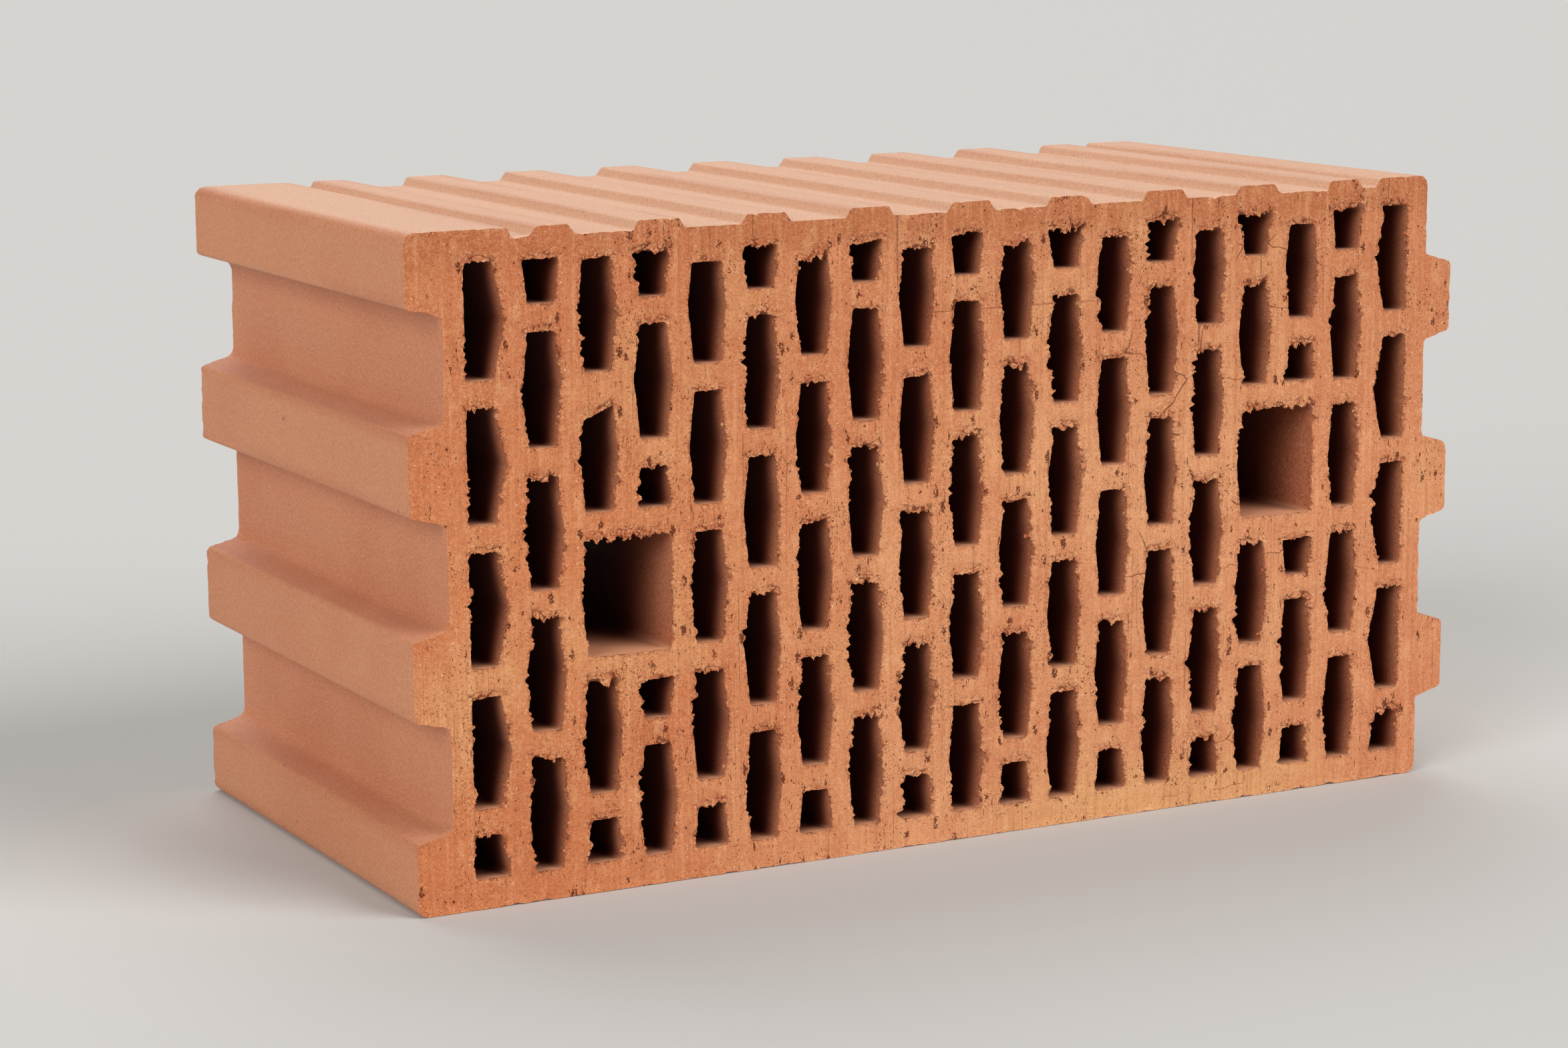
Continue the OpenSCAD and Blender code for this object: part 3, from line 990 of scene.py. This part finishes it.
print("groups", [g.name for g in (GRAIN, PATCHES, BITS)])


# %% [markdown]
# ## Helpers for clay
# All finishes are built alike: a base tone, then layers of colour, each with factors that say where and how
# much it shows. A painted picture could hold the same, but it would need a flat map of every surface and
# would blur when the camera comes close. Noises on Object coordinates need no map and stay sharp.


# %% Clay helpers
def clay_material(name, shine, roughness):
    """An empty material with its Principled shader and Object coordinates."""
    made = bpy.data.materials.new(name)
    made.use_nodes = True
    tree = made.node_tree
    shader = tree.nodes["Principled BSDF"]
    shader.inputs["Specular IOR Level"].default_value = shine
    shader.inputs["Roughness"].default_value = roughness
    at = tree.nodes.new("ShaderNodeTexCoord").outputs["Object"]
    return made, tree, shader, at


def stretched(tree, at, scale):
    """Coordinates scaled along each axis, so a noise on them is drawn out where the scale is small."""
    return put(tree, "ShaderNodeMapping", {"Vector": at}, {"Scale": scale}).outputs[0]


def noise(tree, at, per_metre, detail=2.0, roughness=0.5):
    """The value of a noise with this many features to a metre."""
    return put(tree, "ShaderNodeTexNoise", {"Vector": at},
               {"Scale": per_metre, "Detail": detail, "Roughness": roughness}).outputs["Fac"]


def bent(tree, at, per_metre, reach):
    """Coordinates pushed about by a noise, as far as the reach along each axis."""
    push = put(tree, "ShaderNodeTexNoise", {"Vector": at}, {"Scale": per_metre, "Detail": 3.0})
    shift = put(tree, "ShaderNodeVectorMath", {0: push.outputs["Color"]}, {1: reach}, operation="MULTIPLY")
    return put(tree, "ShaderNodeVectorMath", {0: at, 1: shift.outputs[0]}, operation="ADD").outputs[0]


def share_of(tree, name):
    """An attribute of the mesh's points as a socket."""
    return put(tree, "ShaderNodeAttribute", attribute_name=name).outputs["Fac"]


def times(tree, *factors):
    """Product of numbers and sockets."""
    total = factors[0]
    for factor in factors[1:]:
        total = maths(tree, "MULTIPLY", total, factor)
    return total


def most(tree, *values):
    """The largest of several sockets."""
    total = values[0]
    for value in values[1:]:
        total = maths(tree, "MAXIMUM", total, value)
    return total


def painted(tree, tone, *layers):
    """A tone with layers over it, each a colour and the factors that say how much of it shows."""
    for colour, *factors in layers:
        tone = blend(tree, times(tree, *factors), tone, colour)
    return tone


LIGHT_GRAINS, DARK_GRAINS = (0.01, 0.16), (-0.02, -0.17)


def sanded(tree, tone, grain, share, light, dark):
    """A tone with light grains where the grain is above zero and dark ones where it is below."""
    return painted(
        tree, tone,
        (light, ramp(tree, grain, *LIGHT_GRAINS), share),
        (dark, ramp(tree, grain, *DARK_GRAINS), share),
    )


def finish_bump(tree, shader, height, strength, distance):
    """Sends a height to the shader's normal."""
    bump = put(tree, "ShaderNodeBump", {"Height": height}, {"Strength": strength, "Distance": distance})
    tree.links.new(bump.outputs[0], shader.inputs["Normal"])


print("grain is light over", LIGHT_GRAINS, "and dark over", DARK_GRAINS)

# %% [markdown]
# ## The tone of the cut
# The cut clay is the warmest part. It goes from orange at the grooved end to peach in the middle, it is
# darker along the ribbed top, and in broad patches it burnt redder or yellower. All of that depends on the
# place on the block, so ramps along the coordinates are enough.

# %% Tone of the cut
GROOVED_END, MIDDLE_CLAY, TONGUED_END = screen(195, 114, 71), screen(212, 146, 103), screen(205, 131, 91)
UNDER_RIBS, RIB_BAND, RIDGE_BAND = screen(189, 115, 76), screen(174, 101, 63), screen(190, 104, 60)
BURNT_RED, BURNT_YELLOW, LOW_RIGHT = screen(196, 112, 76), screen(216, 160, 108), screen(214, 158, 104)


def clay_tone(tree, place, patch):
    """Colour of clean cut clay by place: orange, peach, orange along the length, darker under the ribs."""
    x, z = place["X"], place["Z"]
    to_middle = ramp(tree, maths(tree, "ADD", x, times(tree, patch["Red"], -0.06)), -0.21, 0.05)
    right = times(tree, ramp(tree, x, -0.01, 0.06), ramp(tree, x, 0.20, 0.14))
    return painted(
        tree, blend(tree, to_middle, GROOVED_END, MIDDLE_CLAY),
        (TONGUED_END, ramp(tree, x, 0.10, 0.22)),
        (UNDER_RIBS, ramp(tree, z, 0.14, 0.21), 0.65),
        (RIB_BAND, ramp(tree, z, 0.230, 0.242), 0.85),
        (RIDGE_BAND, ramp(tree, x, -0.226, -0.230), 0.35),
        (BURNT_RED, patch["Red"], 0.30),
        (BURNT_YELLOW, patch["Yellow"], 0.45),
        (LOW_RIGHT, ramp(tree, z, 0.030, 0.008), right, 0.6),
    )


print("clay in the middle", [round(c, 3) for c in MIDDLE_CLAY])

# %% [markdown]
# ## Marks in the cut
# Toward the tongued end the clay has hairline cracks, and the torn ground beside the rims has short ones.
# Both are the edges between random cells, bent by a noise. Flecks and pores show where grains were pulled
# out, thickest beside the rims, and the wire drew thin upright lines, which are stretched noises. Modelled,
# all these marks would take millions of triangles, so they are in the finish.


# %% Cracks
def cell_edges(tree, at, per_metre, wide, thin):
    """Lines along the edges between random cells: 1 up to the thin distance and 0 from the wide one on."""
    cells = put(tree, "ShaderNodeTexVoronoi", {"Vector": at}, {"Scale": per_metre},
                feature="DISTANCE_TO_EDGE")
    return ramp(tree, cells.outputs["Distance"], wide, thin)


def hairlines(tree, at, toward_right):
    """Thin cracks: edges between wide stretched cells, wiggled by a noise, kept in some places only."""
    line_at = stretched(tree, bent(tree, at, 160.0, (0.002, 0.0, 0.005)), (0.55, 0.0, 1.0))
    places = ramp(tree, noise(tree, at, 26.0), 0.54, 0.60)
    return times(tree, cell_edges(tree, line_at, 34.0, 0.008, 0.002), places, toward_right)


def torn_cracks(tree, at, torn):
    """Short dark cracks from 0 to 1 in torn ground: bent edges of wide cells that a noise breaks up."""
    line_at = stretched(tree, bent(tree, at, 500.0, (0.003, 0.0, 0.003)), (0.6, 0.0, 1.0))
    places = ramp(tree, noise(tree, at, 260.0), 0.42, 0.54)
    return times(tree, cell_edges(tree, line_at, 330.0, 0.09, 0.03), places, ramp(tree, torn, 0.30, 0.75))


CRACKED = (0.04, 0.09), (0.21, 0.17)
print("hairlines in metres along the length", CRACKED)

# %% Pores
FLECKS, LARGE_FLECKS, FINE_PORES, STROKES = 560.0, 240.0, 1700.0, 1500.0


def pulled_pores(tree, at, clusters):
    """Dark marks from 0 to 1 where grains were pulled out: flecks of two sizes and fine pores, all of them
    thicker in clusters, and short upright strokes in some places."""
    ragged_at = stretched(tree, bent(tree, at, 900.0, (0.0016, 0.0016, 0.0022)), (1.0, 1.0, 0.5))
    some = maths(tree, "ADD", times(tree, clusters, 0.80), 0.15)
    few = times(tree, some, 0.7)
    small = effect(tree, BITS, ragged_at, Per_metre=FLECKS, Share=some, Size=0.72)["Spot"]
    large = effect(tree, BITS, ragged_at, Per_metre=LARGE_FLECKS, Share=few, Size=0.56)["Spot"]
    broken = ramp(tree, noise(tree, at, 1200.0), 0.41, 0.47)
    depth = ramp(tree, noise(tree, at, 320.0), 0.28, 0.44)
    flecks = times(tree, most(tree, small, large), broken, depth)
    fine = noise(tree, stretched(tree, at, (1.0, 1.0, 0.65)), FINE_PORES, 2.0, 0.6)
    pores = ramp(tree, maths(tree, "SUBTRACT", fine, times(tree, clusters, 0.07)), 0.295, 0.245)
    strokes = ramp(tree, noise(tree, stretched(tree, at, (1.0, 1.0, 0.13)), STROKES, 2.0), 0.32, 0.26)
    stroked = ramp(tree, noise(tree, at, 30.0), 0.42, 0.60)
    return most(tree, flecks, pores, times(tree, strokes, stroked))


print("flecks to a metre", FLECKS, LARGE_FLECKS, "pores", FINE_PORES, "strokes", STROKES)

# %% Wire lines
WIRE_STOP_MM = 208.4


def wire_lines(tree, at, place):
    """Thin lines from 0 to 1 that the wire drew: combs of upright scratches, and one level line."""
    comb = ramp(tree, noise(tree, stretched(tree, at, (1.0, 1.0, 0.008)), 1700.0, 1.0), 0.36, 0.27)
    combed = ramp(tree, noise(tree, stretched(tree, at, (1.0, 1.0, 0.4)), 40.0), 0.45, 0.60)
    long_drag = ramp(tree, noise(tree, stretched(tree, at, (1.0, 1.0, 0.012)), 700.0, 1.0), 0.26, 0.22)
    off_level = maths(tree, "ABSOLUTE", maths(tree, "SUBTRACT", place["Z"], WIRE_STOP_MM * MM))
    across = times(tree, ramp(tree, place["X"], -0.05, -0.01), ramp(tree, place["X"], 0.08, 0.04))
    level = times(tree, ramp(tree, off_level, 0.0004, 0.0001), across)
    return most(tree, times(tree, comb, combed, 0.7), long_drag, level)


print("the wire stopped at", WIRE_STOP_MM, "mm")

# %% [markdown]
# ## The cut face's finish
# Over the tone lie mottling, brushed streaks, torn red ground and sand, then bits of brick grit and pale
# grains, then the marks, and last a few lime specks. The large relief is in the mesh, so the bump holds only
# sand, lumps and pits that are finer than a millimetre or two.

# %% Cut clay
MOTTLED_DARK, MOTTLED_LIGHT = screen(184, 100, 62), screen(234, 176, 128)
BRUSHED_DARK, BRUSHED_LIGHT = screen(164, 86, 50), screen(234, 178, 130)
LUMP_DARK, LUMP_LIGHT = screen(150, 76, 43), screen(238, 182, 134)
SAND_DARK, SAND_LIGHT = screen(140, 70, 40), screen(240, 188, 142)
TORN_RED, GRIT_RED, PIT_DARK = screen(170, 84, 50), screen(192, 80, 44), screen(92, 36, 18)
PALE_GRAIN, LIME = screen(242, 196, 152), screen(240, 224, 204)


def cut_clay():
    """Torn orange clay: its tone by place, mottling, streaks, sand, marks and foreign bits."""
    made, tree, shader, at = clay_material("cut_clay", 0.15, 0.95)
    place = put(tree, "ShaderNodeSeparateXYZ", {"Vector": at}).outputs
    torn = share_of(tree, "torn")
    grain = effect(tree, GRAIN, at, Per_metre=2300.0)["Grain"]
    lumps = effect(tree, GRAIN, at, Per_metre=1000.0)["Grain"]
    mottled = noise(tree, stretched(tree, at, (1.0, 1.0, 0.5)), 130.0, 5.0, 0.6)
    brushed = noise(tree, stretched(tree, at, (1.0, 1.0, 0.03)), 620.0, 3.0)
    tone = painted(
        tree, clay_tone(tree, place, effect(tree, PATCHES, at)),
        (MOTTLED_DARK, ramp(tree, mottled, 0.52, 0.72), 0.35),
        (MOTTLED_LIGHT, ramp(tree, mottled, 0.48, 0.28), 0.30),
        (BRUSHED_DARK, ramp(tree, brushed, 0.52, 0.70), 0.26),
        (BRUSHED_LIGHT, ramp(tree, brushed, 0.48, 0.30), 0.20),
        (TORN_RED, ramp(tree, torn, 0.35, 0.9), ramp(tree, noise(tree, at, 190.0), 0.44, 0.60), 0.6),
    )
    rough = maths(tree, "ADD", times(tree, torn, 0.38), 0.10)
    tone = sanded(tree, tone, lumps, rough, LUMP_LIGHT, LUMP_DARK)
    tone = sanded(tree, tone, grain, 0.22, SAND_LIGHT, SAND_DARK)
    in_cracks = times(tree, *[ramp(tree, place["X"], *ends) for ends in CRACKED])
    cracks = most(tree, hairlines(tree, at, in_cracks), torn_cracks(tree, at, torn))
    clusters = most(tree, torn, ramp(tree, noise(tree, at, 60.0, 3.0), 0.46, 0.64))
    pits = times(tree, pulled_pores(tree, at, clusters), 0.9)
    lines = times(tree, wire_lines(tree, at, place), 0.5)
    grit = effect(tree, BITS, stretched(tree, at, (1.2, 1.2, 1.0)), Per_metre=75.0, Share=0.35, Size=0.30)
    lime = effect(tree, BITS, at, Per_metre=90.0, Share=0.35, Size=0.24)
    pale = effect(tree, BITS, at, Per_metre=460.0, Share=0.15, Size=0.40)
    tone = painted(
        tree, tone,
        (GRIT_RED, grit["Spot"], 0.85),
        (PALE_GRAIN, pale["Spot"], 0.45),
        (PIT_DARK, most(tree, pits, times(tree, cracks, 0.8), lines)),
        (LIME, lime["Spot"], 0.9),
    )
    tree.links.new(tone, shader.inputs["Base Color"])
    relief = maths(tree, "ADD", times(tree, grain, 0.5), times(tree, lumps, rough, 2.6))
    finish_bump(tree, shader, maths(tree, "SUBTRACT", relief, pits), 0.9, 0.0006)
    return made


cut = cut_clay()
print("nodes of", cut.name, len(cut.node_tree.nodes))

# %% [markdown]
# ## The crumbs' finish
# The crumbs are the same clay, so they take the tone of the place where they hang. Each has a number of its
# own on its points, which makes it darker or paler than its ground, so that single crumbs can be told apart.

# %% Loose clay
DARK_CRUMB, PALE_CRUMB = screen(190, 106, 66), screen(226, 166, 120)
CRUMB_SAND = screen(236, 180, 132)


def loose_clay():
    """Crumbs of the same clay, each from dark orange to peach by its own tone."""
    made, tree, shader, at = clay_material("loose_clay", 0.15, 0.95)
    place = put(tree, "ShaderNodeSeparateXYZ", {"Vector": at}).outputs
    grain = effect(tree, GRAIN, at, Per_metre=3000.0)["Grain"]
    tone = painted(
        tree, clay_tone(tree, place, effect(tree, PATCHES, at)),
        (PALE_CRUMB, ramp(tree, share_of(tree, "tone"), 0.6, 1.0)),
        (DARK_CRUMB, ramp(tree, share_of(tree, "tone"), 0.5, 0.0)),
    )
    tone = sanded(tree, tone, grain, 0.3, CRUMB_SAND, SAND_DARK)
    tree.links.new(tone, shader.inputs["Base Color"])
    finish_bump(tree, shader, grain, 0.6, 0.0005)
    return made


loose = loose_clay()
print("nodes of", loose.name, len(loose.node_tree.nodes))

# %% [markdown]
# ## The pressed skin and the slot walls
# Where the clay slid along the die it is smooth and pinker, with sand-fine grain, faint streaks along the
# strand and a few pores. The fronts of the ridges are more yellow than the grooves between them, and along
# the edges the die rubbed an orange smear. A paler painted sheen lies on the top. The walls inside the holes
# are the same skin, duller. Their floors get a paler painted light, and the walls get a painted shade with
# their depth, counted in widths of the hole, because little light reaches far into a narrow one.

# %% Pressed skin
SKIN_TONES = screen(203, 128, 86), screen(196, 116, 73), screen(140, 74, 46)
WALL_TONES = screen(180, 107, 71), screen(170, 93, 57), screen(100, 48, 29)
# The tone of the ribbed top is a painted pale sheen.
RIDGE_FRONT, PAINTED_TOP_SHEEN, EDGE_SMEAR = screen(207, 138, 90), screen(219, 171, 136), screen(188, 108, 62)
# The floor tone on the next line is a painted light for the floors of the holes.
SKIN_SAND, PAINTED_FLOOR_LIGHT, PAINTED_HOLE_SHADE = screen(248, 220, 196), screen(224, 158, 116), screen(86, 33, 16)
# The last tone above is a painted shade deep in the holes. It grows from none to full over these hole widths
# of depth, counted from this far outside the nearer cut.
HOLE_SHADE_WIDTHS, HOLE_SHADE_LEAD_MM = (0.0, 0.9), 2.0


def pressed_skin(name, pale, warm, dark, shine):
    """Smooth die skin: two tones in broad patches, streaks along the strand, a painted pale sheen on the top,
    smears on the edges, sand and pores. In a hole its floor gets a painted light, and it goes to a painted
    shade with the depth from the nearer cut, counted in widths of the hole."""
    made, tree, shader, at = clay_material(name, shine, 0.62)
    place = put(tree, "ShaderNodeSeparateXYZ", {"Vector": at}).outputs
    grain = effect(tree, GRAIN, at, Per_metre=4200.0)["Grain"]
    streak = noise(tree, stretched(tree, at, (1.0, 0.03, 1.0)), 160.0, 4.0)
    bits_at = stretched(tree, at, (1.0, 0.6, 0.8))
    pore = effect(tree, BITS, bits_at, Per_metre=105.0, Share=0.5, Size=0.13)["Spot"]
    inward = maths(tree, "SUBTRACT", (DEPTH / 2 + HOLE_SHADE_LEAD_MM) * MM, maths(tree, "ABSOLUTE", place["Y"]))
    widths = times(tree, inward, share_of(tree, "narrow"))
    smear = noise(tree, stretched(tree, at, (1.0, 0.10, 1.0)), 70.0, 3.0)
    x, z = place["X"], place["Z"]
    tone = painted(
        tree, blend(tree, effect(tree, PATCHES, at)["Red"], pale, warm),
        (warm, ramp(tree, streak, 0.5, 0.7), 0.25),
        (RIDGE_FRONT, ramp(tree, x, -0.2275, -0.2305), 0.4),
        # Painted pale sheen on the ribbed top.
        (PAINTED_TOP_SHEEN, ramp(tree, z, 0.236, 0.247), ramp(tree, x, -0.2305, -0.226), 0.8),
        (EDGE_SMEAR, share_of(tree, "edge"), ramp(tree, smear, 0.42, 0.66), 0.6),
    )
    tone = sanded(tree, tone, grain, 0.5, blend(tree, 0.5, tone, SKIN_SAND), dark)
    tone = painted(
        tree, tone,
        (dark, pore, 0.75),
        # Painted light: the floors of the holes are made paler.
        (PAINTED_FLOOR_LIGHT, share_of(tree, "foot"), 0.8),
        # Painted shade: the walls darken with depth, counted in hole widths.
        (PAINTED_HOLE_SHADE, ramp(tree, widths, *HOLE_SHADE_WIDTHS)),
    )
    tree.links.new(tone, shader.inputs["Base Color"])
    shader.inputs["Sheen Weight"].default_value = 0.2 * shine
    finish_bump(tree, shader, maths(tree, "SUBTRACT", times(tree, grain, 0.4), pore), 0.35, 0.0004)
    return made


block.data.materials.append(cut)
block.data.materials.append(pressed_skin("pressed_skin", *SKIN_TONES, 0.4))
block.data.materials.append(pressed_skin("slot_wall", *WALL_TONES, 0.2))
crumbs.data.materials.append(loose)
print("materials", [m.name for m in block.data.materials])

# %% [markdown]
# ## Floor and light
# The block lies on a plain pale floor under soft studio light. Wide lamps that are far away light the floor
# evenly as far as the camera sees. One high on the left lights the top, the end and the near part of each
# slot's wall. One on the right opens up the cut face but misses the walls that the camera sees, so the holes
# stay dark, and a painted shade in the walls' colour darkens them more. One behind puts a pale sheen on the
# ribbed top, over a pale sheen painted into its colour. The surround is dim and even. Colours were chosen as
# they look on a plain screen, so the view is Standard.


# %% Floor and light
def soft_lamp(name, way, share, wide_deg):
    """A far lamp in this direction: a white surface that faces it shows this share of full white."""
    data = bpy.data.lights.new(name, "SUN")
    data.angle = math.radians(wide_deg)
    data.energy = math.pi * share
    lamp = bpy.data.objects.new(name, data)
    lamp.location = Vector(way) * 3
    lamp.rotation_mode = "QUATERNION"
    lamp.rotation_quaternion = (-Vector(way)).to_track_quat("-Z", "Y")
    bpy.context.scene.collection.objects.link(lamp)


def pale_floor(half):
    """A large square at the height of the block's underside."""
    mesh = bpy.data.meshes.new("floor")
    corners = [(-half, -half, 0), (half, -half, 0), (half, half, 0), (-half, half, 0)]
    mesh.from_pydata(corners, [], [(0, 1, 2, 3)])
    floor = bpy.data.objects.new("floor", mesh)
    bpy.context.scene.collection.objects.link(floor)
    paint = bpy.data.materials.new("floor_paint")
    paint.use_nodes = True
    shader = paint.node_tree.nodes["Principled BSDF"]
    shader.inputs["Base Color"].default_value = screen(196, 194, 190)
    shader.inputs["Roughness"].default_value = 0.9
    mesh.materials.append(paint)


def dim_surround(strength):
    """An even pale world light."""
    world = bpy.data.worlds.new("surround")
    world.use_nodes = True
    back = world.node_tree.nodes["Background"]
    back.inputs["Color"].default_value = screen(240, 240, 242)
    back.inputs["Strength"].default_value = strength
    bpy.context.scene.world = world


pale_floor(40.0)
dim_surround(0.10)
soft_lamp("left_lamp", (-0.79, -0.44, 0.42), 0.64, 36.0)
soft_lamp("right_lamp", (0.50, -0.66, 0.56), 0.80, 40.0)
soft_lamp("back_lamp", (0.10, 0.60, 0.79), 0.48, 50.0)
bpy.context.scene.view_settings.view_transform = "Standard"
